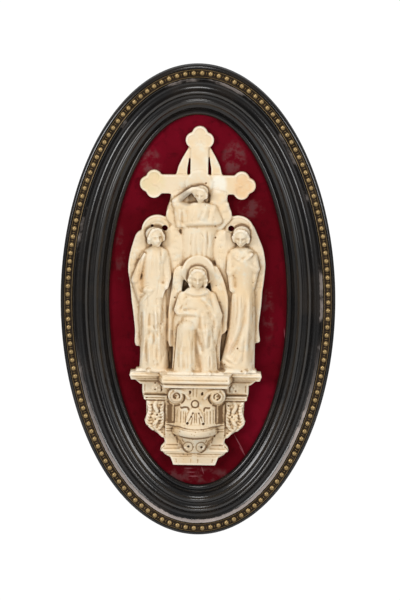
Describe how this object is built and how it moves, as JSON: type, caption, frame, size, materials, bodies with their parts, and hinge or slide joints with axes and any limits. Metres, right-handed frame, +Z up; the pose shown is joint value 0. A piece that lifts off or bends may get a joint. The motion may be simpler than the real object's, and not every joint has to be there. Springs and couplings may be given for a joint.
{
  "type": "framed plaster figure group wall plaque",
  "caption": "Oval wall plaque: a cast plaster group of angels before a cross, on a capital bracket, on velvet in a dark beaded frame.",
  "frame": {"origin": "centre of the oval on the flat back that lies against the wall", "axes": "+Y points into the wall, +Z is up along the long axis, +X is to the right seen from the front"},
  "size_m": [0.234, 0.0364, 0.406],
  "materials": {
    "plaster": "aged cream plaster, matt, stained brown in the hollows",
    "ebonised_wood": "black ebonised moulding over gesso, satin polish, rubbed along the ridges",
    "stamped_brass": "stamped strip, dull old gilt with dark hollows",
    "board_wood": "plain thin softwood board, unfinished",
    "velvet": "deep crimson cut pile, dusty and rubbed in places",
    "hanger_brass": "plain sheet brass, dull"
  },
  "bodies": {
    "root": {"figure_group": "plaster", "bracket": "plaster", "frame_moulding": "ebonised_wood", "bead_strip": "stamped_brass", "back_board": "board_wood", "velvet_ground": "velvet", "hanger_plate": "hanger_brass"}
  },
  "joints": []
}
